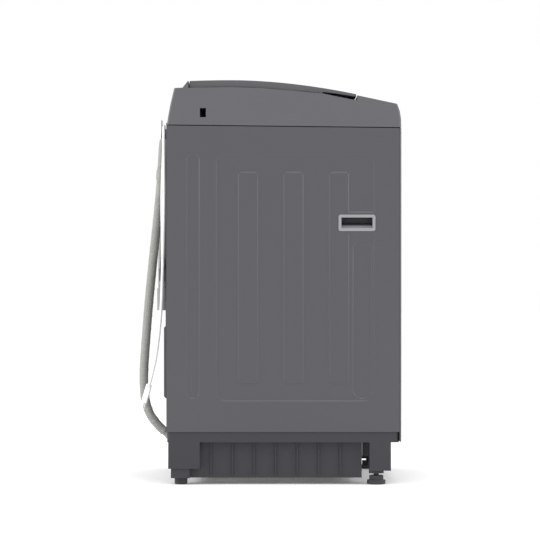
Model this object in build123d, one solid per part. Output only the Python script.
"""Top load washing machine, as an assembly of separate pieces.

Frame: X across the width (the machine's left side is at -X), front is -Y, rear is +Y, Z up.
Origin: middle of the floor area that the cabinet covers. Millimetres throughout.
Bodies: cabinet (fixed), lid, tub unit (hangs on four sprung rods), drum, pulsator, clutch pulley,
motor rotor, pump impeller, detergent drawer, push buttons and the two adjustable front feet.
"""
from build123d import *
import math
import os

os.makedirs("parts", exist_ok=True)

# ---------------------------------------------------------------- driving dimensions
WIDTH = 540.0              # over the handle bezels
DEPTH = 540.0              # front panel face to the rear cover's bulge
HEIGHT = 910.0             # floor to the top of the lid

SHEET = 1.2                # painted steel sheet
PLASTIC = 3.0              # moulded walls
RUN_CLEAR = 0.05           # radial clearance of a shaft in its bearing
BODY_GAP = 0.6             # air between pieces that move past each other
FIT_GAP = 0.3              # air round a fixed insert in its opening

# Cabinet
BEZEL_PROUD = 1.2          # how far a handle bezel stands off the side panel
BULGE = 11.5               # rear cover's depth behind the cabinet
FRONT_TRAY = 4.5           # depth of the front panel's turned edges
FLANGE = 14.0              # turned-in flanges of the side panels
CABINET_BOTTOM = 119.0     # lower edge of the side panels
FRONT_BOTTOM = 97.0        # the front panel hangs over the base
COVER_HEIGHT = 100.0       # top of the lid down to the cover's lower rear edge
SEAM_DROP = 6.0            # the seam under the cover falls this much towards the front
SEAM = 2.0                 # open line between cover and panels
EMBOSS = 1.4               # depth of the pressings
EMBOSS_SLOPE = 62.0        # how far their sides lean out
REAR_OPENING_HALF = 130.0  # half width of the service opening

# Pressings in the side panels
FIELD_FROM_FRONT = 61.0    # the wide field, in from the front
FIELD_FROM_REAR = 111.5
FIELD_MARGIN = 38.5        # field above and below its ribs
RIB_WIDE = 46.0
RIB_FROM_FRONT = 140.5     # middle of the foremost rib
RIB_FROM_REAR = 183.5      # middle of the rearmost rib
RIB_BELOW_TOP = 206.0
RIB_ABOVE_BOTTOM = 107.0
SEAT_MARGIN = 7.0          # flat seat round a handle's rim
CHANNEL_ABOVE_BOTTOM = 74.0
FRONT_CHANNEL = 44.0       # width of the channel below the handle
REAR_CHANNEL = 30.0
REAR_CHANNEL_IN = 45.0     # the rear channel, in from the rear

# Handle cup
HANDLE_LONG = 83.0
HANDLE_TALL = 37.0
HANDLE_DEEP = 34.0
HANDLE_FROM_FRONT = 100.0  # its centre, from the front
HANDLE_FROM_TOP = 321.0    # its centre, below the lid's top
HANDLE_RIM = 4.5

# Base and feet
BASE_WALL = 4.0
BASE_INSET = 2.5           # base band, inside the side panels
BAND_BOTTOM = 95.5
LEG_WIDE = 62.0
REAR_LEG_BOTTOM = 36.0
FRONT_LEG_BOTTOM = 31.5
SKIRT_BOTTOM = 14.6
SKIRT_INSET = 22.0
REAR_FOOT_R = 14.6
FRONT_FOOT_R = 21.0
FRONT_FOOT_PAD = 19.5      # height of the front foot's hexagon and pad
STEM_R = 6.0
LOCK_NUT_H = 7.0

# Tub unit
TUB_GAP = 34.0             # tub to side panel
TUB_WALL = 3.0
TUB_BOTTOM = 190.0
TUB_TO_COVER = 70.0        # tub ring to the cover's lower edge, room for the bounce
TUB_RING_H = 30.0
DRUM_GAP = 12.0            # drum to tub, all round
DRUM_SHEET = 1.0
BALANCE_H = 46.0
BALANCE_W = 34.0
PULSATOR_R = 165.0
FILTER_WIDE = 96.0
FILTER_TALL = 130.0
FILTER_BELOW_RING = 147.0  # lint filters below the balance ring
SPIN_SHAFT_R = 15.0
WASH_SHAFT_R = 8.0
GEARBOX_R = 56.0
BOUNCE = 15.0              # the tub's travel each way

# Drive
PULLEY_BOTTOM = 68.0
PULLEY_H = 16.0
BIG_PULLEY_R = 62.0
SMALL_PULLEY_R = 20.0
GROOVE = 4.0
BELT_THICK = 4.0
MOTOR_X = 75.0
MOTOR_FROM_AXIS = 130.0
MOTOR_R = 54.0
PUMP_X = -150.0
PUMP_Y = 88.0
PUMP_R = 30.0

# Suspension
ROD_R = 4.0
ROD_IN = 43.0              # rod centre, in from the side panels
SPRING_R = 10.5
SPRING_WIRE_R = 1.4
SPRING_TURNS = 7

# Lid and mouth
LID_SIDE = 5.0             # lid edge, in from the side
LID_THICK = 15.0
LID_THIN = 9.0             # at its front end
LID_FALL = 31.5            # front end below the highest line
GLASS = 4.0
LID_REAR = 63.5            # rear end of the lid, in from the rear
LID_REAR_AIR = 2.4         # air behind the lid, which its rear edge swings through
LID_REAR_EDGE = 0.8
LID_FRONT = 101.5          # front end of the lid, in from the front
HINGE_DROP = 4.5           # hinge axis below the lid's top
HINGE_IN = 3.5             # hinge axis in from the lid's rear end
HINGE_PIN_R = 2.4
HINGE_X = 205.0            # hinge lugs, from the middle
MOUTH_X = 180.0
MOUTH_FRONT = 142.0        # mouth's front edge, in from the front
MOUTH_REAR = 120.0         # mouth's rear edge, in from the rear
MOUTH_CORNER = 70.0

# Drawer
DRAWER_X0 = 5.0
DRAWER_X1 = 105.0
DRAWER_LONG = 78.0
DRAWER_TALL = 40.0

# Drain hose and power cord
HOSE_R = 10.5
CORD_R = 3.5
HOSE_X = -150.0
HOSE_CROWN_Z = 778.0       # lowest height of the hose's middle on its hook
HOSE_OFF_REAR = 13.7       # the hose's middle behind the rear panel at the hook
HOSE_HOOK_X = -56.7
CORD_HOOK_X = -208.25
CORD_HOOK_Z = 776.3
HOSE_ROUTE = [
    (-150, 267.05, 113.5), (-150, 294, 137.8), (-150.5, 311.5, 179), (-151, 315.5, 238),
    (-151, 311, 308), (-150.5, 304.5, 392), (-150, 296.5, 477), (-149.5, 287.5, 562),
    (-150, 278.5, 646), (-150, 272.5, 726), (-95.3, 272, 781), (-18, 272.5, 781),
    (36.6, 274, 726), (36, 277.5, 655), (35, 278.5, 580), (35.5, 279.5, 505), (35.5, 279.5, 440),
]
CORD_ROUTE = [
    (-175, 270, 512), (-175, 271.5, 570), (-174, 272.5, 655), (-175, 269, 740), (-175, 267, 790),
    (-194.5, 266.5, 809.5), (-222, 266, 809.5), (-241.5, 265.5, 790), (-241, 265, 738),
    (-240, 264.5, 650), (-240, 266, 562), (-239, 268.5, 475), (-239, 271, 395), (-238, 277, 330),
    (-238, 286, 268), (-237, 298.5, 224),
]

# ---------------------------------------------------------------- derived places
FRONT = -DEPTH / 2
REAR = DEPTH / 2
CAB_REAR = REAR - BULGE                      # back face of the cabinet
SIDE_X = WIDTH / 2 - BEZEL_PROUD             # outer face of the side panels
SIDE_FRONT = FRONT + FRONT_TRAY              # where a side panel starts
COVER_BOTTOM_REAR = HEIGHT - COVER_HEIGHT
COVER_BOTTOM_FRONT = COVER_BOTTOM_REAR - SEAM_DROP
TUB_Y = (FRONT + CAB_REAR) / 2
INSIDE_HALF = min(SIDE_X, (CAB_REAR - FRONT) / 2 - SHEET) - SHEET
TUB_R = INSIDE_HALF - TUB_GAP
TUB_RING_TOP = COVER_BOTTOM_REAR - TUB_TO_COVER + TUB_RING_H
TUB_TOP = TUB_RING_TOP - TUB_RING_H
DRUM_R = TUB_R - TUB_WALL - DRUM_GAP
DRUM_BOTTOM = TUB_BOTTOM + TUB_WALL + DRUM_GAP
DRUM_TOP = TUB_TOP - DRUM_GAP
HANDLE_Y = FRONT + HANDLE_FROM_FRONT
HANDLE_Z = HEIGHT - HANDLE_FROM_TOP
LEG_X = SIDE_X - BASE_INSET                  # outer face of the base
FOOT_X = LEG_X - LEG_WIDE / 2
REAR_FOOT_Y = CAB_REAR - 32.0
FRONT_FOOT_Y = FRONT + 55.5
ROD_X = SIDE_X - ROD_IN
ROD_Y = (CAB_REAR - FRONT) / 2 - ROD_IN
ROD_TOP = COVER_BOTTOM_FRONT - 22.0
LUG_Z = TUB_BOTTOM + 60.0
LUG_H = 24.0
CUP_H = 44.0
LID_TOP_REAR = HEIGHT - 1.8
HINGE_Y = REAR - LID_REAR - HINGE_IN
HINGE_Z = LID_TOP_REAR - HINGE_DROP
MOUTH_Y0 = FRONT + MOUTH_FRONT
MOUTH_Y1 = REAR - MOUTH_REAR
MOUTH_BOTTOM = TUB_RING_TOP + BOUNCE + 6.0
PLATE_TOP = TUB_BOTTOM
PLATE_T = 3.0
MOTOR_Y = TUB_Y - math.sqrt(MOTOR_FROM_AXIS ** 2 - MOTOR_X ** 2)
MOTOR_TOP = PLATE_TOP - PLATE_T
MOTOR_BOTTOM = PULLEY_BOTTOM + PULLEY_H + 14.0
CORNERS = [(sx, sy) for sx in (-1, 1) for sy in (-1, 1)]


# ---------------------------------------------------------------- helpers
def block(x0, x1, y0, y1, z0, z1):
    """A box from its low and high faces."""
    middle = ((x0 + x1) / 2, (y0 + y1) / 2, (z0 + z1) / 2)
    return Pos(*middle) * Box(x1 - x0, y1 - y0, z1 - z0)


def pillar(r, z0, z1, x=0.0, y=0.0):
    """An upright cylinder."""
    return Pos(x, y, (z0 + z1) / 2) * Cylinder(r, z1 - z0)


def tube_z(r_out, r_in, z0, z1, x=0.0, y=0.0):
    """An upright tube."""
    return pillar(r_out, z0, z1, x, y) - pillar(r_in, z0 - 1, z1 + 1, x, y)


def rod_x(r, x0, x1, y, z):
    """A cylinder along X."""
    return Pos((x0 + x1) / 2, y, z) * Rot(0, 90, 0) * Cylinder(r, x1 - x0)


def rod_y(r, y0, y1, x, z):
    """A cylinder along Y."""
    return Pos(x, (y0 + y1) / 2, z) * Rot(90, 0, 0) * Cylinder(r, y1 - y0)


def across(points, x0, x1):
    """A closed Y-Z outline, pushed out along X from x0 to x1."""
    outline = Polyline(*[(x0, y, z) for y, z in points], close=True)
    return extrude(make_face(outline), amount=x1 - x0, dir=(1, 0, 0))


def rounded_hole(x0, x1, y0, y1, z0, z1, r):
    """An upright prism with rounded corners."""
    middle = ((x0 + x1) / 2, (y0 + y1) / 2, z0)
    return Pos(*middle) * extrude(RectangleRounded(x1 - x0, y1 - y0, r), amount=z1 - z0)


def save(name, *solids):
    """Write one node: its separate solids in one STEP file."""
    flat = []
    for item in solids:
        flat += list(item.solids())
    shape = flat[0] if len(flat) == 1 else Compound(children=flat)
    shape.label = name
    export_step(shape, f"parts/{name}.step")


def mirrored(shape):
    """The same piece on the machine's right side."""
    return mirror(shape, about=Plane.YZ)


# ---------------------------------------------------------------- cabinet panels
def cover_bottom(y):
    """Height of the top cover's lower edge at depth y."""
    share = (y - FRONT) / (CAB_REAR - FRONT)
    return COVER_BOTTOM_FRONT + (COVER_BOTTOM_REAR - COVER_BOTTOM_FRONT) * share


def side_face(x, y0, y1, z0, z1, radius=None):
    """A rounded outline on an upright plane at x, facing left; with no radius its ends are arches."""
    if radius:
        outline = RectangleRounded(y1 - y0, z1 - z0, radius)
    else:
        outline = SlotOverall(z1 - z0, y1 - y0, rotation=90)
    place = Plane(origin=(x, (y0 + y1) / 2, (z0 + z1) / 2), x_dir=(0, 1, 0), z_dir=(-1, 0, 0))
    return place * outline


def pressed(x, *outline):
    """The space of a field pressed in from the plane at x, narrowing inwards."""
    return extrude(side_face(x, *outline), amount=-EMBOSS, taper=EMBOSS_SLOPE)


def raised(*outline):
    """A pad that stands on the floor of a pressed field, up to the sheet's face."""
    return extrude(side_face(-SIDE_X + EMBOSS, *outline), amount=EMBOSS, taper=EMBOSS_SLOPE)


def pressings():
    """All that is pressed into the left side: a wide field with three ribs and a seat, and two channels."""
    top = HEIGHT - RIB_BELOW_TOP
    bottom = CABINET_BOTTOM + RIB_ABOVE_BOTTOM
    front = FRONT + FIELD_FROM_FRONT
    hollow = pressed(-SIDE_X, front, CAB_REAR - FIELD_FROM_REAR, bottom - FIELD_MARGIN, top + FIELD_MARGIN, 24)
    for k in range(3):
        middle = FRONT + RIB_FROM_FRONT + k * (CAB_REAR - FRONT - RIB_FROM_FRONT - RIB_FROM_REAR) / 2
        hollow -= raised(middle - RIB_WIDE / 2, middle + RIB_WIDE / 2, bottom, top, 9)
    seat_y = HANDLE_LONG / 2 + SEAT_MARGIN
    seat_z = HANDLE_TALL / 2 + SEAT_MARGIN
    hollow -= raised(HANDLE_Y - seat_y, HANDLE_Y + seat_y, HANDLE_Z - seat_z, HANDLE_Z + seat_z, 10)
    low = CABINET_BOTTOM + CHANNEL_ABOVE_BOTTOM
    front_arch = (front + 5, front + 5 + FRONT_CHANNEL, low, HANDLE_Z - seat_z - 12)
    hollow += pressed(-SIDE_X + EMBOSS, *front_arch)
    rear = CAB_REAR - REAR_CHANNEL_IN
    return hollow + pressed(-SIDE_X, rear - REAR_CHANNEL, rear, low, HEIGHT - 164)


def side_panel():
    """Left side panel: sheet with turned-in edges, pressed ribs and the handle opening."""
    top_front = cover_bottom(SIDE_FRONT) - SEAM
    top_rear = cover_bottom(CAB_REAR) - SEAM
    outline = [(SIDE_FRONT, CABINET_BOTTOM), (CAB_REAR, CABINET_BOTTOM),
               (CAB_REAR, top_rear), (SIDE_FRONT, top_front)]
    panel = across(outline, -SIDE_X, -SIDE_X + SHEET)
    low = min(top_front, top_rear) - 30.0
    for y0, y1 in ((SIDE_FRONT, SIDE_FRONT + SHEET), (CAB_REAR - SHEET, CAB_REAR)):
        panel += block(-SIDE_X, -SIDE_X + FLANGE, y0, y1, CABINET_BOTTOM, low)
    hollow = pressings()
    panel = panel + Pos(SHEET, 0, 0) * hollow - hollow
    half_y = HANDLE_LONG / 2 - HANDLE_RIM + FIT_GAP
    half_z = HANDLE_TALL / 2 - HANDLE_RIM + FIT_GAP
    panel -= block(-SIDE_X - 5, -SIDE_X + 5, HANDLE_Y - half_y, HANDLE_Y + half_y,
                   HANDLE_Z - half_z, HANDLE_Z + half_z)
    return panel


def side_handle():
    """Left carrying handle: a rim, a sloping scoop, and a cup behind it that opens upward inside."""
    rim = block(-WIDTH / 2, -SIDE_X, HANDLE_Y - HANDLE_LONG / 2, HANDLE_Y + HANDLE_LONG / 2,
                HANDLE_Z - HANDLE_TALL / 2, HANDLE_Z + HANDLE_TALL / 2)
    rim = fillet(rim.edges().filter_by(Axis.X), 5.0)
    half_y = HANDLE_LONG / 2 - HANDLE_RIM
    half_z = HANDLE_TALL / 2 - HANDLE_RIM
    x0 = -WIDTH / 2
    outer = block(x0, x0 + HANDLE_DEEP, HANDLE_Y - half_y, HANDLE_Y + half_y,
                  HANDLE_Z - half_z, HANDLE_Z + half_z)
    wall = 2.0
    inner = block(x0 - 1, x0 + HANDLE_DEEP - wall, HANDLE_Y - half_y + wall, HANDLE_Y + half_y - wall,
                  HANDLE_Z - half_z + wall, HANDLE_Z + half_z - wall)
    upper = block(x0 + 14, x0 + HANDLE_DEEP, HANDLE_Y - half_y, HANDLE_Y + half_y,
                  HANDLE_Z - half_z, HANDLE_Z + half_z + 16)
    upper_inner = block(x0 + 14 + wall, x0 + HANDLE_DEEP - wall, HANDLE_Y - half_y + wall,
                        HANDLE_Y + half_y - wall, HANDLE_Z, HANDLE_Z + half_z + 16 - wall)
    low, back = HANDLE_Z - half_z + wall / 2, x0 + HANDLE_DEEP - wall / 2
    slope = [(x0 + 1.5, low), (x0 + 1.5, low + 1.2), (x0 + 6, low + 3), (x0 + 11, low + 6.5),
             (x0 + 15, low + 10.5), (x0 + 18, HANDLE_Z - 1), (back, HANDLE_Z - 1), (back, low)]
    ends = HANDLE_Y + half_y - wall / 2
    section = make_face(Polyline(*[(x, ends, z) for x, z in slope], close=True))
    scoop = extrude(section, amount=2 * half_y - wall, dir=(0, -1, 0))
    return rim + outer + upper - inner - upper_inner + scoop


def front_panel():
    """Front panel: one sheet with its edges turned back to meet the side panels."""
    top = cover_bottom(FRONT) - SEAM
    shell = block(-SIDE_X, SIDE_X, FRONT, SIDE_FRONT - 0.5, FRONT_BOTTOM, top)
    shell = fillet(shell.edges().filter_by(Axis.Z).group_by(Axis.Y)[0], 3.2)
    hollow = block(-SIDE_X + SHEET, SIDE_X - SHEET, FRONT + SHEET, SIDE_FRONT,
                   FRONT_BOTTOM + SHEET, top - SHEET)
    hollow = fillet(hollow.edges().filter_by(Axis.Z).group_by(Axis.Y)[0], 2.0)
    return shell - hollow


def rear_opening():
    """The service opening: x half width, low and high."""
    return REAR_OPENING_HALF, CABINET_BOTTOM + 85.0, CABINET_BOTTOM + 335.0


def rear_panel():
    """Rear sheet between the side flanges, with the service opening."""
    half, low, high = rear_opening()
    y0 = CAB_REAR - SHEET
    x1 = SIDE_X - FLANGE - 0.5
    sheet = block(-x1, x1, y0, CAB_REAR, CABINET_BOTTOM, COVER_BOTTOM_REAR - SEAM)
    sheet -= block(-half, half, y0 - 1, CAB_REAR + 1, low, high)
    for x in (-half - 14, half + 14):
        for z in (low + 20, high - 20):
            sheet -= rod_y(1.6, y0 - 1, CAB_REAR + 1, x, z)
    return sheet - outlet_axis(OUTLET_R + FIT_GAP + 1.0, 3, 3)


def rear_cover():
    """Bulged cover over the service opening, open towards the machine."""
    half, low, high = rear_opening()
    body = block(-half - 24, half + 24, CAB_REAR, CAB_REAR + 1.6, low - 24, high + 24)
    steps = [(7.5, high - 40), (BULGE, low + 150)]
    for depth, top in steps:
        bulge = block(-half + 6, half - 6, CAB_REAR, CAB_REAR + depth, low - 16, top)
        body += chamfer(bulge.faces().sort_by(Axis.Y)[-1].edges(), 4.0)
    for depth, top in steps:
        body -= block(-half + 12, half - 12, CAB_REAR - 1, CAB_REAR + depth - 2.0, low - 10, top - 7)
    for x in (-half - 14, half + 14):
        for z in (low + 20, high - 20):
            body -= rod_y(1.5 + RUN_CLEAR, CAB_REAR - 1, CAB_REAR + 3, x, z)
    return body


def rear_screws():
    """Four pan head screws of the rear cover."""
    half, low, high = rear_opening()
    screws = []
    for x in (-half - 14, half + 14):
        for z in (low + 20, high - 20):
            head = rod_y(4.5, CAB_REAR + 1.6, CAB_REAR + 4.0, x, z)
            head = fillet(head.edges().group_by(Axis.Y)[-1], 1.2)
            screws.append(head + rod_y(1.5, CAB_REAR - 10, CAB_REAR + 1.6, x, z))
    return screws


# ---------------------------------------------------------------- base and feet
OUTLET_TILT = 42.0         # the drain outlet points up by this much
OUTLET_Z = 104.0
OUTLET_R = HOSE_R - 2.0
OUTLET_OUT = 14.0          # how far the spigot stands out along its own axis


def outlet_axis(r, back, forward):
    """A cylinder along the tilted outlet, from 'back' to 'forward' of the base's rear face."""
    place = Pos(HOSE_X, CAB_REAR - 2, OUTLET_Z) * Rot(-90 + OUTLET_TILT, 0, 0)
    return place * Pos(0, 0, (forward - back) / 2) * Cylinder(r, forward + back)


def base_frame():
    """Moulded base: a band under the cabinet, four hollow legs and an inset skirt."""
    y0, y1 = SIDE_FRONT + 1.0, CAB_REAR - 1.5
    band = rounded_hole(-LEG_X, LEG_X, y0, y1, BAND_BOTTOM, CABINET_BOTTOM, 8)
    band -= rounded_hole(-LEG_X + BASE_WALL, LEG_X - BASE_WALL, y0 + BASE_WALL, y1 - BASE_WALL,
                         BAND_BOTTOM - 1, CABINET_BOTTOM + 1, 5)
    inner_x = LEG_X - SKIRT_INSET
    skirt_y0 = FRONT_FOOT_Y + FRONT_FOOT_R + 12
    skirt_y1 = REAR_FOOT_Y - 19.5
    wall = block(-inner_x, inner_x, skirt_y0, skirt_y1, SKIRT_BOTTOM, BAND_BOTTOM + 8)
    wall -= block(-inner_x + BASE_WALL, inner_x - BASE_WALL, skirt_y0 + BASE_WALL,
                  skirt_y1 - BASE_WALL, SKIRT_BOTTOM - 1, BAND_BOTTOM + 9)
    ledge = block(-LEG_X + 1, LEG_X - 1, y0 + 1, y1 - 1, BAND_BOTTOM, BAND_BOTTOM + BASE_WALL)
    ledge -= block(-inner_x + 1, inner_x - 1, skirt_y0 + 1, skirt_y1 - 1,
                   BAND_BOTTOM - 1, BAND_BOTTOM + 20)
    body = band + wall + ledge
    for sx in (-1, 1):
        rear = block(-LEG_X, -LEG_X + LEG_WIDE, CAB_REAR - 75, CAB_REAR - 4, REAR_LEG_BOTTOM, BAND_BOTTOM + 1)
        rear += block(-LEG_X + 4, -LEG_X + LEG_WIDE - 4, REAR_FOOT_Y - 20, REAR_FOOT_Y + 22,
                      SKIRT_BOTTOM, REAR_LEG_BOTTOM + 1)
        front = block(-LEG_X, -LEG_X + LEG_WIDE, FRONT_FOOT_Y - 32, FRONT_FOOT_Y + 16,
                      FRONT_LEG_BOTTOM, BAND_BOTTOM + 1)
        front -= pillar(STEM_R + RUN_CLEAR, FRONT_LEG_BOTTOM - 1, BAND_BOTTOM - 12, -FOOT_X, FRONT_FOOT_Y)
        legs = rear + front
        body += legs if sx < 0 else mirrored(legs)
    rib_step = (skirt_y1 - skirt_y0) / 8
    for k in range(1, 8):
        y = skirt_y0 + rib_step * k
        rib = block(-inner_x - 5, -inner_x + 1, y - 1.5, y + 1.5, SKIRT_BOTTOM + 6, BAND_BOTTOM + 1)
        body += rib + mirrored(rib)
    notch = block(HOSE_X - 16, HOSE_X + 16, skirt_y1 - BASE_WALL - 1, skirt_y1 + 1,
                  SKIRT_BOTTOM + 20, BAND_BOTTOM + 9)
    return body - notch - outlet_axis(OUTLET_R + FIT_GAP + 1.0, 80, 30)


def drain_outlet():
    """The tilted spigot that the drain hose is pushed on."""
    spigot = outlet_axis(OUTLET_R, 14, OUTLET_OUT)
    collar = outlet_axis(OUTLET_R + 1.0, 9, 3)
    return spigot + collar - outlet_axis(OUTLET_R - 2.0, 30, 30)


def rear_feet():
    """Two fixed rubber feet, pushed up into the rear legs."""
    feet = []
    for sx in (-1, 1):
        foot = pillar(REAR_FOOT_R, 0, SKIRT_BOTTOM, sx * FOOT_X, REAR_FOOT_Y)
        foot = fillet(foot.edges().group_by(Axis.Z)[0], 2.5)
        feet.append(foot)
    return feet


def front_foot():
    """Left adjustable foot: rubber-soled pad, hexagon and stem."""
    pad = pillar(FRONT_FOOT_R, 0, 9, -FOOT_X, FRONT_FOOT_Y)
    pad = fillet(pad.edges().group_by(Axis.Z)[0], 2.0)
    hexagon = extrude(RegularPolygon(FRONT_FOOT_R - 3, 6), amount=FRONT_FOOT_PAD - 9)
    hexagon = Pos(-FOOT_X, FRONT_FOOT_Y, 9) * hexagon
    stem = pillar(STEM_R, 5, BAND_BOTTOM - 22, -FOOT_X, FRONT_FOOT_Y)
    return pad + hexagon + stem


def lock_nuts():
    """The nuts that lock the front feet against the legs."""
    nuts = []
    for sx in (-1, 1):
        nut = extrude(RegularPolygon(FRONT_FOOT_R - 2, 6), amount=LOCK_NUT_H)
        nut = Pos(sx * FOOT_X, FRONT_FOOT_Y, FRONT_LEG_BOTTOM - LOCK_NUT_H) * nut
        nuts.append(nut - pillar(STEM_R + RUN_CLEAR, 0, 60, sx * FOOT_X, FRONT_FOOT_Y))
    return nuts


# ---------------------------------------------------------------- suspension
def corner_brackets():
    """Four folded brackets that tie the side panels to front and rear and carry the rods."""
    brackets = []
    z1 = ROD_TOP
    walls = {-1: SIDE_FRONT + SHEET, 1: CAB_REAR - SHEET}
    for sx, sy in CORNERS:
        x_wall, y_wall = sx * (SIDE_X - SHEET), walls[sy]
        x_end, y_end = sx * (ROD_X - 14), TUB_Y + sy * (ROD_Y - 14)
        xs, ys = sorted((x_wall, x_end)), sorted((y_wall, y_end))
        plate = block(*xs, *ys, z1 - 2.5, z1)
        side_web = block(*sorted((x_wall, x_wall - sx * 2)), *ys, z1 - 30, z1)
        end_web = block(*sorted((x_wall - sx * (FLANGE + 2), x_end)),
                        *sorted((y_wall, y_wall - sy * 2)), z1 - 30, z1)
        hole = pillar(ROD_R + 1.0, z1 - 20, z1 + 20, sx * ROD_X, TUB_Y + sy * ROD_Y)
        brackets.append(plate + side_web + end_web - hole)
    return brackets


def suspension_rods():
    """Four rods, each with a ball on its bracket and a washer under its spring."""
    rods = []
    for sx, sy in CORNERS:
        x, y = sx * ROD_X, TUB_Y + sy * ROD_Y
        ball = Pos(x, y, ROD_TOP + 6.5) * Sphere(7.0)
        ball -= pillar(20, ROD_TOP - 30, ROD_TOP + 0.0, x, y)
        rod = pillar(ROD_R, LUG_Z - CUP_H - 62, ROD_TOP + 6, x, y)
        washer = pillar(SPRING_R + 3, LUG_Z - CUP_H - 58, LUG_Z - CUP_H - 54, x, y)
        rods.append(ball + rod + washer)
    return rods


def suspension_cups():
    """Damper cups, open below, that the tub's lugs sit on."""
    cups = []
    for sx, sy in CORNERS:
        x, y = sx * ROD_X, TUB_Y + sy * ROD_Y
        cup = pillar(SPRING_R + 8, LUG_Z - CUP_H, LUG_Z, x, y)
        cup -= pillar(SPRING_R + 4, LUG_Z - CUP_H - 1, LUG_Z - 8, x, y)
        cups.append(cup - pillar(ROD_R + 0.5, LUG_Z - 20, LUG_Z + 20, x, y))
    return cups


def suspension_springs():
    """Four coil springs between each rod's washer and its cup."""
    z0 = LUG_Z - CUP_H - 54 + SPRING_WIRE_R + 0.2
    z1 = LUG_Z - 8 - SPRING_WIRE_R - 0.2
    helix = Helix(pitch=(z1 - z0) / SPRING_TURNS, height=z1 - z0, radius=SPRING_R - SPRING_WIRE_R)
    start = Plane(origin=helix @ 0, z_dir=helix % 0)
    coil = sweep(start * Circle(SPRING_WIRE_R), path=helix, is_frenet=True)
    return [Pos(sx * ROD_X, TUB_Y + sy * ROD_Y, z0) * coil for sx, sy in CORNERS]


# ---------------------------------------------------------------- tub unit
def lug(sx, sy):
    """One of the tub's arms, reaching over a suspension cup."""
    x, y = sx * ROD_X, sy * ROD_Y
    reach = math.hypot(x, y)
    arm = block(TUB_R - 2, reach, -15, 15, LUG_Z, LUG_Z + LUG_H)
    arm = Pos(0, TUB_Y, 0) * Rot(0, 0, math.degrees(math.atan2(y, x))) * arm
    arm += pillar(SPRING_R + 9, LUG_Z, LUG_Z + LUG_H, x, TUB_Y + y)
    return arm - pillar(ROD_R + 3, LUG_Z - 1, LUG_Z + LUG_H + 1, x, TUB_Y + y)


def outer_tub():
    """Water tub: wall, floor with a hub and a drain hole, and four lugs."""
    tub = pillar(TUB_R, TUB_BOTTOM, TUB_TOP, 0, TUB_Y)
    for sx, sy in CORNERS:
        tub += lug(sx, sy)
    tub -= pillar(TUB_R - TUB_WALL, TUB_BOTTOM + TUB_WALL, TUB_TOP + 1, 0, TUB_Y)
    tub -= pillar(26, TUB_BOTTOM - 1, TUB_BOTTOM + 10, 0, TUB_Y)
    tub -= pillar(14, TUB_BOTTOM - 1, TUB_BOTTOM + 10, PUMP_X, PUMP_Y)
    return tub


def tub_ring():
    """Ring cover that closes the tub down to the drum's mouth."""
    lip = DRUM_R - BALANCE_W - 2
    ring = tube_z(TUB_R + 4, TUB_R - TUB_WALL, TUB_TOP, TUB_RING_TOP, 0, TUB_Y)
    ring += tube_z(TUB_R, lip, TUB_RING_TOP - TUB_WALL, TUB_RING_TOP, 0, TUB_Y)
    ring += tube_z(lip + TUB_WALL, lip, TUB_TOP - 4, TUB_RING_TOP, 0, TUB_Y)
    outer = ring.edges().filter_by(GeomType.CIRCLE).group_by(Axis.Z)[-1].sort_by(SortBy.RADIUS)[-1]
    return fillet(outer, 3.5)


def tub_plate():
    """Steel plate under the tub that carries gearbox, motor and pump."""
    plate = tube_z(200, 30, PLATE_TOP - PLATE_T, PLATE_TOP, 0, TUB_Y)
    return plate - pillar(24, PLATE_TOP - 20, PLATE_TOP + 20, PUMP_X, PUMP_Y)


def gearbox_housing():
    """Case of the reduction gear and clutch, with a bottom cap bored for the input shaft."""
    z0 = MOTOR_BOTTOM + 6
    case = tube_z(GEARBOX_R, 26, z0, MOTOR_TOP, 0, TUB_Y)
    cap = tube_z(GEARBOX_R, WASH_SHAFT_R + RUN_CLEAR, MOTOR_BOTTOM, z0, 0, TUB_Y)
    for k in range(8):
        spoke = Rot(0, 0, 45 * k) * block(GEARBOX_R - 2, GEARBOX_R + 6, -2, 2, z0, MOTOR_TOP)
        case += Pos(0, TUB_Y, 0) * spoke
    return case + cap


def shaft_bearings():
    """Two ball bearings of the spin shaft."""
    rings = []
    for z0 in (MOTOR_BOTTOM + 8, MOTOR_TOP - 16):
        rings.append(tube_z(26, SPIN_SHAFT_R + RUN_CLEAR, z0, z0 + 14, 0, TUB_Y))
    return rings


def tub_seal():
    """Water seal between the tub's floor and the spin shaft."""
    return tube_z(26, SPIN_SHAFT_R + RUN_CLEAR, TUB_BOTTOM, TUB_BOTTOM + TUB_WALL + 6, 0, TUB_Y)


def spin_shaft():
    """Hollow shaft that turns the drum."""
    return tube_z(SPIN_SHAFT_R, WASH_SHAFT_R + RUN_CLEAR, MOTOR_BOTTOM + 8, DRUM_BOTTOM + 20, 0, TUB_Y)


def wash_shaft():
    """Shaft inside the spin shaft that turns the pulsator, with a threaded end bore."""
    shaft = pillar(WASH_SHAFT_R, MOTOR_BOTTOM + 8, DRUM_BOTTOM + 36, 0, TUB_Y)
    return shaft - pillar(3, DRUM_BOTTOM + 16, DRUM_BOTTOM + 37, 0, TUB_Y)


def pulley(radius, bore, x, y):
    """A belt pulley with a square groove and six lightening holes when it is large."""
    z0, z1 = PULLEY_BOTTOM, PULLEY_BOTTOM + PULLEY_H
    wheel = tube_z(radius, bore, z0, z1, x, y)
    wheel -= tube_z(radius + 1, radius - GROOVE, z0 + 3, z1 - 3, x, y)
    if radius > 40:
        for k in range(6):
            angle = math.radians(60 * k)
            wheel -= pillar(10, z0 - 1, z1 + 1, x + 34 * math.cos(angle), y + 34 * math.sin(angle))
    return wheel


def input_shaft():
    """Short shaft between the big pulley and the gearbox."""
    return pillar(WASH_SHAFT_R, PULLEY_BOTTOM - 6, MOTOR_BOTTOM + 6, 0, TUB_Y)


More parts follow.
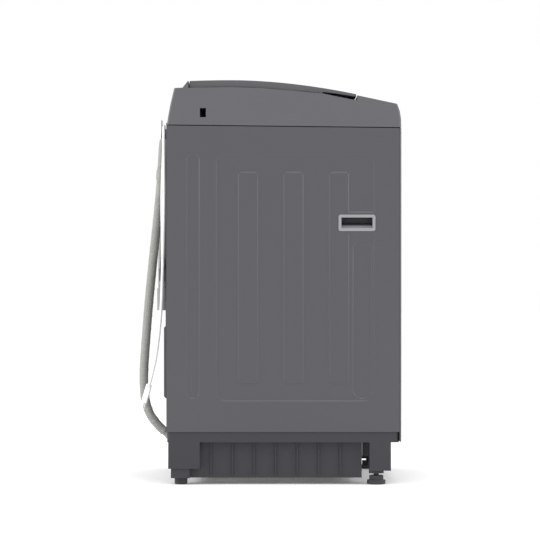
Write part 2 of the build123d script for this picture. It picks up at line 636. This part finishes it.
def drive_belt():
    """Flat loop round both grooves, a hair clear of them."""
    loops = []
    for extra in (BODY_GAP / 2, BODY_GAP / 2 + BELT_THICK):
        big = Pos(0, TUB_Y) * Circle(BIG_PULLEY_R - GROOVE + extra)
        small = Pos(MOTOR_X, MOTOR_Y) * Circle(SMALL_PULLEY_R - GROOVE + extra)
        loops.append(make_hull(big.edges() + small.edges()))
    height = PULLEY_H - 6 - 2
    return Pos(0, 0, PULLEY_BOTTOM + 4) * extrude(loops[1] - loops[0], amount=height)


def motor_body():
    """Motor can with a bored lower shield and cooling slots."""
    can = pillar(MOTOR_R, MOTOR_BOTTOM, MOTOR_TOP, MOTOR_X, MOTOR_Y)
    can = fillet(can.edges().group_by(Axis.Z)[0], 6)
    for k in range(12):
        slot = Rot(0, 0, 30 * k) * block(MOTOR_R - 5, MOTOR_R + 1, -3, 3, MOTOR_BOTTOM + 25, MOTOR_TOP - 25)
        can -= Pos(MOTOR_X, MOTOR_Y, 0) * slot
    return can - pillar(6 + RUN_CLEAR, MOTOR_BOTTOM - 1, MOTOR_BOTTOM + 36, MOTOR_X, MOTOR_Y)


def motor_shaft():
    """The rotor's shaft."""
    return pillar(6, PULLEY_BOTTOM - 4, MOTOR_BOTTOM + 35, MOTOR_X, MOTOR_Y)


def pump_housing():
    """Drain pump: chamber, neck up to the tub's floor, outlet and motor block."""
    body = pillar(PUMP_R, 108, 150, PUMP_X, PUMP_Y) + pillar(18, 150, TUB_BOTTOM, PUMP_X, PUMP_Y)
    body += pillar(24, 84, 108, PUMP_X, PUMP_Y)
    body += rod_y(OUTLET_R, PUMP_Y + 20, PUMP_Y + 50, PUMP_X, 128)
    body -= pillar(PUMP_R - 4, 112, 146, PUMP_X, PUMP_Y)
    body -= pillar(14, 140, TUB_BOTTOM + 1, PUMP_X, PUMP_Y)
    body -= rod_y(OUTLET_R - 2, PUMP_Y + 18, PUMP_Y + 51, PUMP_X, 128)
    return body - pillar(3 + RUN_CLEAR, 92, 120, PUMP_X, PUMP_Y)


def pump_impeller():
    """Impeller with five blades on a thin shaft."""
    wheel = pillar(20, 116, 119, PUMP_X, PUMP_Y) + pillar(3, 93, 134, PUMP_X, PUMP_Y)
    for k in range(5):
        blade = Rot(0, 0, 72 * k) * block(2, 19, -1, 1, 118, 132)
        wheel += Pos(PUMP_X, PUMP_Y, 0) * blade
    return wheel


def inner_drain_hose():
    """Soft hose from the pump to the outlet in the base."""
    tilt = math.radians(OUTLET_TILT)
    end = (HOSE_X, CAB_REAR - 2 - 14.5 * math.cos(tilt), OUTLET_Z - 14.5 * math.sin(tilt))
    near = (HOSE_X, end[1] - 62 * math.cos(tilt), end[2] - 62 * math.sin(tilt))
    start = (PUMP_X, PUMP_Y + 50.5, 128)
    points = [start, (PUMP_X, PUMP_Y + 80, 128), near, end]
    path = FilletPolyline(*points, radius=14)
    return sweep(Plane(origin=start, z_dir=(0, 1, 0)) * Circle(OUTLET_R), path=path)


# ---------------------------------------------------------------- drum and pulsator
def inner_drum():
    """Stainless drum wall with three rolled beads."""
    wall = tube_z(DRUM_R, DRUM_R - DRUM_SHEET, DRUM_BOTTOM, DRUM_TOP, 0, TUB_Y)
    for share in (0.3, 0.52, 0.74):
        z = DRUM_BOTTOM + (DRUM_TOP - DRUM_BOTTOM) * share
        wall += tube_z(DRUM_R + 1.5, DRUM_R - 0.2, z - 4, z + 4, 0, TUB_Y)
    return wall


def drum_base():
    """Drum floor with its hub on the spin shaft."""
    floor = pillar(DRUM_R - DRUM_SHEET, DRUM_BOTTOM, DRUM_BOTTOM + 5, 0, TUB_Y)
    floor += pillar(38, DRUM_BOTTOM, DRUM_BOTTOM + 20, 0, TUB_Y)
    for k in range(12):
        angle = math.radians(30 * k)
        floor -= pillar(7, DRUM_BOTTOM - 1, DRUM_BOTTOM + 6, 190 * math.cos(angle), TUB_Y + 190 * math.sin(angle))
    return floor - pillar(SPIN_SHAFT_R, DRUM_BOTTOM - 1, DRUM_BOTTOM + 21, 0, TUB_Y)


def balance_ring():
    """Liquid filled ring in the drum's mouth."""
    ring = tube_z(DRUM_R - DRUM_SHEET, DRUM_R - DRUM_SHEET - BALANCE_W, DRUM_TOP - BALANCE_H, DRUM_TOP, 0, TUB_Y)
    inner = ring.edges().filter_by(GeomType.CIRCLE).sort_by(SortBy.RADIUS)[0:2]
    return fillet(inner, 6)


def pulsator():
    """Low disc with a domed middle and six curved-up vanes."""
    z = DRUM_BOTTOM + 24
    outline = [(WASH_SHAFT_R, z), (PULSATOR_R - 4, z), (PULSATOR_R, z + 4), (PULSATOR_R - 6, z + 8),
               (60, z + 7), (34, z + 12), (WASH_SHAFT_R, z + 12)]
    section = make_face(Polyline(*[(r, 0, h) for r, h in outline], close=True))
    disc = revolve(section, axis=Axis.Z)
    for k in range(6):
        vane = across([(-9, z + 4), (9, z + 4), (3, z + 26), (-3, z + 26)], 50, PULSATOR_R - 18)
        vane = fillet(vane.edges().group_by(Axis.Z)[-1], 2.5)
        disc += Rot(0, 0, 60 * k) * vane
    return Pos(0, TUB_Y, 0) * disc


def pulsator_screw():
    """Screw and washer that hold the pulsator on its shaft."""
    z = DRUM_BOTTOM + 36
    head = pillar(13, z, z + 2, 0, TUB_Y) + pillar(7, z + 2, z + 7, 0, TUB_Y)
    return head + pillar(3, z - 18, z, 0, TUB_Y)


def lint_filters():
    """Two filter cassettes on the drum wall."""
    boxes = []
    for sx in (-1, 1):
        xs = sorted((sx * (DRUM_R - 16), sx * (DRUM_R + 5)))
        top = DRUM_TOP - BALANCE_H - FILTER_BELOW_RING
        cassette = block(xs[0], xs[1], -FILTER_WIDE / 2, FILTER_WIDE / 2, top - FILTER_TALL, top)
        boxes.append(Pos(0, TUB_Y, 0) * (cassette & pillar(DRUM_R - DRUM_SHEET, 0, HEIGHT)))
    return boxes


# ---------------------------------------------------------------- lid
LID_Y0 = FRONT + LID_FRONT
LID_Y1 = REAR - LID_REAR
LID_X = SIDE_X - LID_SIDE
LIP_FROM = 0.79            # share of the lid's length, from the rear, where its thin lip starts
LIP_GAP = 3.5              # how much the lip is thinner than the rest
PEAK = 0.25                # share of the lid's length, from the rear, where it is highest
GLASS_Y0 = LID_Y0 + 62.0
GLASS_Y1 = LID_Y1 - 58.0
GLASS_X = LID_X - 50.0
GLASS_REST = 12.0          # width of the ledge under the glass


def lid_top(y):
    """Height of the lid's upper face at depth y."""
    share = (LID_Y1 - y) / (LID_Y1 - LID_Y0)
    if share < PEAK:
        return HEIGHT - 1.8 * ((PEAK - share) / PEAK) ** 2
    return HEIGHT - LID_FALL * ((share - PEAK) / (1 - PEAK)) ** 1.85


def lid_bottom(y):
    """Height of the lid's underside at depth y: it thins towards the front."""
    share = (LID_Y1 - y) / (LID_Y1 - LID_Y0)
    thinning = max(0.0, (share - 0.6) / 0.4)
    return lid_top(y) - LID_THICK + (LID_THICK - LID_THIN) * thinning


def lid_slice(top, bottom, x):
    """A slab across the lid between two height functions."""
    steps = 10
    ys = [LID_Y1 + (LID_Y0 - LID_Y1) * k / steps for k in range(steps + 1)]
    upper = Spline(*[(-x, y, top(y)) for y in ys])
    lower = Spline(*[(-x, y, bottom(y)) for y in reversed(ys)])
    front = Line(upper @ 1, lower @ 0)
    rear = Line(lower @ 1, upper @ 0)
    return extrude(make_face([upper, front, lower, rear]), amount=2 * x, dir=(1, 0, 0))


def lip_cut():
    """The space under the lid's front lip, where fingers reach in."""
    start = LID_Y1 + (LID_Y0 - LID_Y1) * LIP_FROM
    ys = [start - 5, (start + LID_Y0) / 2, LID_Y0 - 1]
    under = [(y, lid_bottom(y) + LIP_GAP) for y in ys]
    return across([(start, lid_bottom(start) - 1)] + under + [(LID_Y0 - 1, lid_bottom(LID_Y0) - 9)],
                  -LID_X - 1, LID_X + 1)


def glass_slab():
    """The upper layer of the lid that the glass fills."""
    return lid_slice(lid_top, lambda y: lid_top(y) - GLASS, LID_X)


def lid_frame():
    """Moulded lid frame: open below, with the glass opening, its ledge and hinge notches."""
    slab = lid_slice(lid_top, lid_bottom, LID_X)
    slab = chamfer(slab.edges().filter_by(Axis.X).sort_by(Axis.Y)[-2:].sort_by(Axis.Z)[0], 3.0)
    slab = chamfer(slab.edges().filter_by(Axis.X).sort_by(Axis.Y)[-1:], LID_REAR_EDGE)
    hollow = lid_slice(lambda y: lid_top(y) - 3.5, lambda y: lid_bottom(y) - 3, LID_X - 6)
    hollow &= block(-LID_X, LID_X, LID_Y0 + 8, HINGE_Y - 14, 0, HEIGHT)
    hollow -= block(-GLASS_X - 4, GLASS_X + 4, GLASS_Y0 - 4, GLASS_Y1 + 4, 0, HEIGHT + 5)
    frame = slab - hollow
    frame -= rounded_hole(-GLASS_X + GLASS_REST, GLASS_X - GLASS_REST, GLASS_Y0 + GLASS_REST,
                          GLASS_Y1 - GLASS_REST, 0, HEIGHT + 5, 24)
    frame -= glass_slab() & rounded_hole(-GLASS_X, GLASS_X, GLASS_Y0, GLASS_Y1, 0, HEIGHT + 5, 34)
    frame -= lip_cut()
    for sx in (-1, 1):
        xs = sorted((sx * (HINGE_X - 1.5), sx * (HINGE_X + 11.5)))
        frame -= block(xs[0], xs[1], HINGE_Y - 8, LID_Y1 + 1, 0, HEIGHT + 5)
        frame -= hinge_pin(sx)
    return frame


def lid_glass():
    """Curved tempered glass that lies in the frame."""
    gap = FIT_GAP
    return glass_slab() & rounded_hole(-GLASS_X + gap, GLASS_X - gap, GLASS_Y0 + gap, GLASS_Y1 - gap,
                                       0, HEIGHT + 5, 34 - gap)


def hinge_pin(sx):
    """One hinge pin, fixed in the lid."""
    xs = sorted((sx * (HINGE_X - 14), sx * (HINGE_X + 24)))
    return rod_x(HINGE_PIN_R, xs[0], xs[1], HINGE_Y, HINGE_Z)


# ---------------------------------------------------------------- top cover
SLOPE_REAR = (FRONT + 99.0, HEIGHT - 34.4)     # upper rear end of the control slope
SLOPE_FRONT = (FRONT + 14.0, HEIGHT - 52.5)    # its lower front end
TILT = math.degrees(math.atan2(SLOPE_REAR[1] - SLOPE_FRONT[1], SLOPE_REAR[0] - SLOPE_FRONT[0]))
FASCIA_X = SIDE_X - 12.0
COVER_CORNER = 5.0         # rounding of the cover's front and rear corners
FASCIA_T = 4.0
BUTTONS = {"programme_button": -190.0, "water_level_button": -140.0, "spin_button": 100.0,
           "start_pause_button": 145.0, "power_button": 195.0}
BUTTON_LONG = 26.0
BUTTON_WIDE = 15.0
BUTTON_PROUD = 0.8
PORT_R = 13.2
PORT_X = 157.5
PORT_Z = HEIGHT - 64.0


def cover_outline():
    """Side outline of the top cover, rear bottom corner first."""
    deck = [LID_Y1 - 12, PEAK * LID_Y0 + (1 - PEAK) * LID_Y1, FRONT + 318, FRONT + 250, FRONT + 176]
    points = [(CAB_REAR - 1, COVER_BOTTOM_REAR), (REAR - 15.5, HEIGHT - 81), (REAR - 20, HEIGHT - 56),
              (REAR - 29, HEIGHT - 18), (REAR - 48, HEIGHT - 17), (REAR - 60, HEIGHT - 2.0),
              (LID_Y1 + LID_REAR_AIR, HEIGHT - 2.0),
              (LID_Y1 + LID_REAR_AIR, lid_bottom(LID_Y1) - BODY_GAP)]
    points += [(y, lid_bottom(y) - BODY_GAP) for y in deck]
    points += [(FRONT + 154, HEIGHT - 35.2), (FRONT + 109, HEIGHT - 44.2),
               (SLOPE_REAR[0] + 1, HEIGHT - 45.5), SLOPE_REAR, SLOPE_FRONT,
               (FRONT + 9, HEIGHT - 54), (FRONT + 3.4, HEIGHT - 69.6), (FRONT + 0.6, HEIGHT - 88),
               (FRONT + 0.3, COVER_BOTTOM_FRONT)]
    return points


def corner_edges(outer):
    """The edges of the cover's sides at its front and rear faces."""
    edges = []
    for edge in outer.edges().filter_by(Axis.X, reverse=True):
        low, high = sorted(((edge @ 0).Y, (edge @ 1).Y))
        if low > REAR - 30 or high < FRONT + 10:
            edges.append(edge)
    return edges


def slope_plane(x, down=0.0):
    """Plane on the control slope at x, sunk 'down' below it, its Z pointing out of the slope."""
    normal = (0, -math.sin(math.radians(TILT)), math.cos(math.radians(TILT)))
    y = (SLOPE_REAR[0] + SLOPE_FRONT[0]) / 2 - normal[1] * down
    z = (SLOPE_REAR[1] + SLOPE_FRONT[1]) / 2 - normal[2] * down
    return Plane(origin=(x, y, z), x_dir=(1, 0, 0), z_dir=normal)


SLOPE_LONG = math.dist(SLOPE_REAR, SLOPE_FRONT)


def on_slope(x, wide, long, top, thick, radius=3.0):
    """A rounded plate lying in the control slope, its upper face 'top' above the slope."""
    return extrude(slope_plane(x, -top) * RectangleRounded(wide, long, radius), amount=-thick)


def top_cover():
    """Moulded cover: shell, mouth, control slope, finger recess, hinge lugs and inlet pocket."""
    outline = cover_outline()
    outer = across(outline, -SIDE_X, SIDE_X)
    outer = fillet(corner_edges(outer), COVER_CORNER)
    face = make_face(Polyline(*[(0, y, z) for y, z in outline], close=True))
    core = offset(face, amount=-PLASTIC)
    inner = extrude(core, amount=SIDE_X - PLASTIC, dir=(1, 0, 0), both=True)
    shell = outer - inner - Pos(0, 0, -SEAM_DROP - 4) * inner
    mouth = (-MOUTH_X, MOUTH_X, MOUTH_Y0, MOUTH_Y1)
    grown = (mouth[0] - PLASTIC, mouth[1] + PLASTIC, mouth[2] - PLASTIC, mouth[3] + PLASTIC)
    chute_top = rounded_hole(*grown, COVER_BOTTOM_REAR, HEIGHT, MOUTH_CORNER + PLASTIC) & outer
    chute_low = rounded_hole(*grown, MOUTH_BOTTOM, COVER_BOTTOM_REAR + 10, MOUTH_CORNER + PLASTIC)
    cover = shell + chute_top + chute_low
    y0, y1 = FRONT + 104, MOUTH_Y0 - 6
    cover += block(-75, 75, y0, y1, HEIGHT - 68, HEIGHT - 46)
    cover += on_slope(0, 2 * FASCIA_X + 6, SLOPE_LONG - 4, 0, FASCIA_T + PLASTIC) & outer
    px0, px1, py, pz = PORT_X - 28, PORT_X + 28, REAR - 45, 28
    cover += block(px0 - 3, px1 + 3, py - 3, REAR - 12, PORT_Z - pz - 3, PORT_Z + pz + 3) & outer
    cover -= rounded_hole(*mouth, MOUTH_BOTTOM - 5, HEIGHT + 5, MOUTH_CORNER)
    cover -= block(-72, 72, y0 + 3, y1 - 3, HEIGHT - 65, HEIGHT)
    cover -= on_slope(0, 2 * FASCIA_X + 2 * FIT_GAP, SLOPE_LONG - 10 + 2 * FIT_GAP, 5, FASCIA_T + 5)
    for x in BUTTONS.values():
        cover -= on_slope(x, BUTTON_LONG + 6, BUTTON_WIDE + 6, 0, 20)
    cover -= block(px0, px1, py, REAR + 5, PORT_Z - pz, PORT_Z + pz)
    cover -= rod_y(PORT_R + FIT_GAP, py - 10, py + 5, PORT_X, PORT_Z)
    cover -= block(DRAWER_X0 - BODY_GAP, DRAWER_X1 + BODY_GAP, MOUTH_Y1 - 1, MOUTH_Y1 + PLASTIC + 1,
                   DRAWER_Z0 - BODY_GAP, DRAWER_Z0 + DRAWER_TALL + BODY_GAP)
    cover -= block(-SIDE_X - 1, -SIDE_X + PLASTIC + 1, REAR - 100.5, REAR - 87, HEIGHT - 83.5, HEIGHT - 63)
    for sx in (-1, 1):
        cover += hinge_lug(sx)
    return cover


def hinge_lug(sx):
    """A lug on the cover's deck that holds a hinge pin."""
    xs = sorted((sx * HINGE_X, sx * (HINGE_X + 10)))
    deck = lid_bottom(LID_Y1) - BODY_GAP
    eye = rod_x(HINGE_DROP - 0.3, xs[0], xs[1], HINGE_Y, HINGE_Z)
    eye += block(xs[0], xs[1], HINGE_Y - HINGE_DROP + 0.3, LID_Y1 + 2.5, deck - 2, HINGE_Z)
    return eye - rod_x(HINGE_PIN_R + RUN_CLEAR, xs[0] - 1, xs[1] + 1, HINGE_Y, HINGE_Z)


def control_fascia():
    """Dark control panel let into the slope, with openings for buttons and display."""
    panel = on_slope(0, 2 * FASCIA_X, SLOPE_LONG - 10, 0, FASCIA_T)
    for x in BUTTONS.values():
        panel -= on_slope(x, BUTTON_LONG + 2 * FIT_GAP, BUTTON_WIDE + 2 * FIT_GAP, 2, FASCIA_T + 4)
    return panel - on_slope(-20, 120, 34, 1, 1 + 2.0)


def display_window():
    """Smoked display window in the fascia."""
    return on_slope(-20, 120 - 2 * FIT_GAP, 34 - 2 * FIT_GAP, 0, 2.0)


def button(x):
    """A push button: cap and a square stem towards the board."""
    cap = on_slope(x, BUTTON_LONG, BUTTON_WIDE, BUTTON_PROUD, FASCIA_T + BUTTON_PROUD + 2)
    return cap + on_slope(x, 6, 6, -FASCIA_T - 1, 8, 1.0)


def control_board():
    """Circuit board under the buttons, held in the cover."""
    return on_slope(0, 2 * FASCIA_X - 60, 60, -FASCIA_T - 12, 1.6)


# ---------------------------------------------------------------- drawer, valve, hooks
DRAWER_Z0 = HEIGHT - 78.0


def detergent_drawer():
    """Open-topped drawer with a divider; its front closes the slot in the mouth."""
    y0, y1 = MOUTH_Y1 + 0.5, MOUTH_Y1 + 0.5 + DRAWER_LONG
    tray = block(DRAWER_X0, DRAWER_X1, y0, y1, DRAWER_Z0, DRAWER_Z0 + DRAWER_TALL)
    middle = (DRAWER_X0 + DRAWER_X1) / 2
    for x0, x1 in ((DRAWER_X0 + 2, middle - 1), (middle + 1, DRAWER_X1 - 2)):
        tray -= block(x0, x1, y0 + 2.5, y1 - 2, DRAWER_Z0 + 2, DRAWER_Z0 + DRAWER_TALL + 1)
    return tray


def drawer_housing():
    """Box behind the mouth that the drawer slides in."""
    y0 = MOUTH_Y1 + PLASTIC
    y1 = MOUTH_Y1 + DRAWER_LONG + 6
    case = block(DRAWER_X0 - 3.5, DRAWER_X1 + 3.5, y0, y1, DRAWER_Z0 - 3.5, DRAWER_Z0 + DRAWER_TALL + 3.5)
    room = block(DRAWER_X0 - 1, DRAWER_X1 + 1, y0 - 1, y1 - 2.5, DRAWER_Z0 - 1, DRAWER_Z0 + DRAWER_TALL + 1)
    return case - room


def inlet_valve():
    """Solenoid valve with a threaded port that stands in the cover's rear pocket."""
    py = REAR - 45
    body = block(PORT_X - 21, PORT_X + 21, py - 36, py - 3.5, PORT_Z - 19, PORT_Z + 17)
    body += pillar(9, PORT_Z - 19, PORT_Z + 24, PORT_X - 4, py - 24)
    port = rod_y(PORT_R - 1, py - 4, py + 1, PORT_X, PORT_Z) + rod_y(PORT_R + 4, py, py + 2, PORT_X, PORT_Z)
    port += rod_y(PORT_R, py + 1, py + 22, PORT_X, PORT_Z)
    for k in range(4):
        y = py + 6 + 4 * k
        port -= rod_y(PORT_R + 1, y, y + 1.2, PORT_X, PORT_Z) - rod_y(PORT_R - 0.8, y, y + 1.2, PORT_X, PORT_Z)
    return body + port - rod_y(8, py - 10, py + 23, PORT_X, PORT_Z)


def rear_hooks():
    """Two hooks on the rear panel: one for the power cord, one for the drain hose."""
    y = CAB_REAR
    cx, cz = CORD_HOOK_X, CORD_HOOK_Z
    saddle = rod_y(26.5, y, y + 13, cx, cz) & block(cx - 30, cx + 30, y - 1, y + 20, cz + 4, cz + 40)
    saddle -= rod_y(22.5, y - 1, y + 20, cx, cz)
    plate = block(cx - 12, cx + 12, y, y + 2, cz + 4, cz + 40)
    lip = block(cx - 9, cx + 9, y + 11.5, y + 13, cz + 18, cz + 46)
    x0, x1 = HOSE_HOOK_X - 14, HOSE_HOOK_X + 14
    top = HOSE_CROWN_Z - HOSE_R
    edge = y + HOSE_OFF_REAR + HOSE_R
    shelf = block(x0, x1, y, edge - 1.2, top - 4, top) + block(x0, x1, y, y + 2, top - 24, top)
    shelf += block(x0, x1, edge - 3.7, edge - 1.2, top - 1, top + 3.5)
    return [saddle + plate + lip, shelf]


# ---------------------------------------------------------------- cords
def cord_path(points):
    """Straight runs joined by tangent arcs, each as large as its two runs allow."""
    vectors = [Vector(*p) for p in points]
    radii = []
    for a, b, c in zip(vectors, vectors[1:], vectors[2:]):
        turn = math.radians((b - a).get_angle(c - b))
        shorter = min((b - a).length, (c - b).length)
        radii.append(0.45 * shorter / math.tan(turn / 2))
    return FilletPolyline(*points, radius=radii), radii


def cord_tube(name, points, radius):
    """A cord's plain tube, with its length and tightest bend printed."""
    path, radii = cord_path(points)
    tube = sweep(Plane(origin=points[0], z_dir=path % 0) * Circle(radius), path=path)
    expected = math.pi * radius ** 2 * path.length
    print(f"{name}: length {path.length:.0f}, tightest bend {min(radii):.0f}, "
          f"radii {[round(r) for r in radii]}, volume ratio {tube.volume / expected:.4f}")
    return tube


def hose_cuff():
    """Smooth rubber cuff on the hose's free end."""
    x, y, z = HOSE_ROUTE[-1]
    return tube_z(HOSE_R + 2, HOSE_R - 2.5, z - 52, z, x, y)


def cord_gland():
    """Moulded gland on the rear panel with a boot that points up along it."""
    x, y, z = CORD_ROUTE[0]
    body = block(x - 12, x + 12, CAB_REAR, y + 8, z - 54, z - 26)
    body = fillet(body.edges().filter_by(Axis.Z).group_by(Axis.Y)[-1], 4)
    boot = Pos(x, y, z - 13.3) * Cone(7.5, CORD_R + 1.2, 26)
    return body + boot


def power_plug():
    """Flat plug in line with the cord's end: collar, body, three blades."""
    end = Vector(*CORD_ROUTE[-1])
    run = (end - Vector(*CORD_ROUTE[-2])).normalized()
    place = Plane(origin=end, x_dir=(1, 0, 0), z_dir=run)
    collar = place * Pos(0, 0, 2) * Cylinder(6.5, 4)
    body = extrude(place.offset(4) * RectangleRounded(25, 13, 4), amount=38)
    body = chamfer(body.edges().filter_by(GeomType.LINE, reverse=True), 1.2)
    blades = place * Pos(0, 0, 42 + 7.5)
    plug = collar + body
    for x, y in ((-6.5, -2), (6.5, -2), (0, 3)):
        plug += blades * Pos(x, y, 0) * Box(1.6 if y < 0 else 5.0, 5.0 if y < 0 else 1.6, 17)
    return plug


# ---------------------------------------------------------------- write every node
def build():
    """Build and save all nodes."""
    left = side_panel()
    save("left_side_panel", left)
    save("right_side_panel", mirrored(left))
    cup = side_handle()
    save("handle_cups", cup, mirrored(cup))
    save("front_panel", front_panel())
    save("rear_panel", rear_panel())
    save("rear_cover", rear_cover())
    save("rear_cover_screws", *rear_screws())
    save("base_frame", base_frame())
    save("drain_outlet", drain_outlet())
    save("rear_feet", *rear_feet())
    foot = front_foot()
    save("front_foot_left", foot)
    save("front_foot_right", mirrored(foot))
    save("front_lock_nuts", *lock_nuts())
    save("corner_brackets", *corner_brackets())
    save("suspension_rods", *suspension_rods())
    save("suspension_cups", *suspension_cups())
    save("suspension_springs", *suspension_springs())
    save("outer_tub", outer_tub())
    save("tub_ring", tub_ring())
    save("tub_plate", tub_plate())
    save("gearbox_housing", gearbox_housing())
    save("shaft_bearings", *shaft_bearings())
    save("tub_seal", tub_seal())
    save("spin_shaft", spin_shaft())
    save("wash_shaft", wash_shaft())
    save("clutch_pulley", pulley(BIG_PULLEY_R, WASH_SHAFT_R, 0, TUB_Y), input_shaft())
    save("drive_belt", drive_belt())
    save("motor_body", motor_body())
    save("motor_shaft", motor_shaft())
    save("motor_pulley", pulley(SMALL_PULLEY_R, 6, MOTOR_X, MOTOR_Y))
    save("pump_housing", pump_housing())
    save("pump_impeller", pump_impeller())
    save("inner_drain_hose", inner_drain_hose())
    save("inner_drum", inner_drum())
    save("drum_base", drum_base())
    save("balance_ring", balance_ring())
    save("pulsator", pulsator())
    save("pulsator_screw", pulsator_screw())
    save("lint_filters", *lint_filters())
    save("top_cover", top_cover())
    save("control_fascia", control_fascia())
    save("display_window", display_window())
    save("control_board", control_board())
    for name, x in BUTTONS.items():
        save(name, button(x))
    save("lid_frame", lid_frame())
    save("lid_glass", lid_glass())
    save("lid_hinge_pins", hinge_pin(-1), hinge_pin(1))
    save("detergent_drawer", detergent_drawer())
    save("drawer_housing", drawer_housing())
    save("inlet_valve", inlet_valve())
    save("rear_hooks", *rear_hooks())
    save("cord_gland", cord_gland())
    save("drain_hose", cord_tube("drain_hose", HOSE_ROUTE, HOSE_R))
    save("hose_cuff", hose_cuff())
    save("power_cord", cord_tube("power_cord", CORD_ROUTE, CORD_R))
    save("power_plug", power_plug())


build()
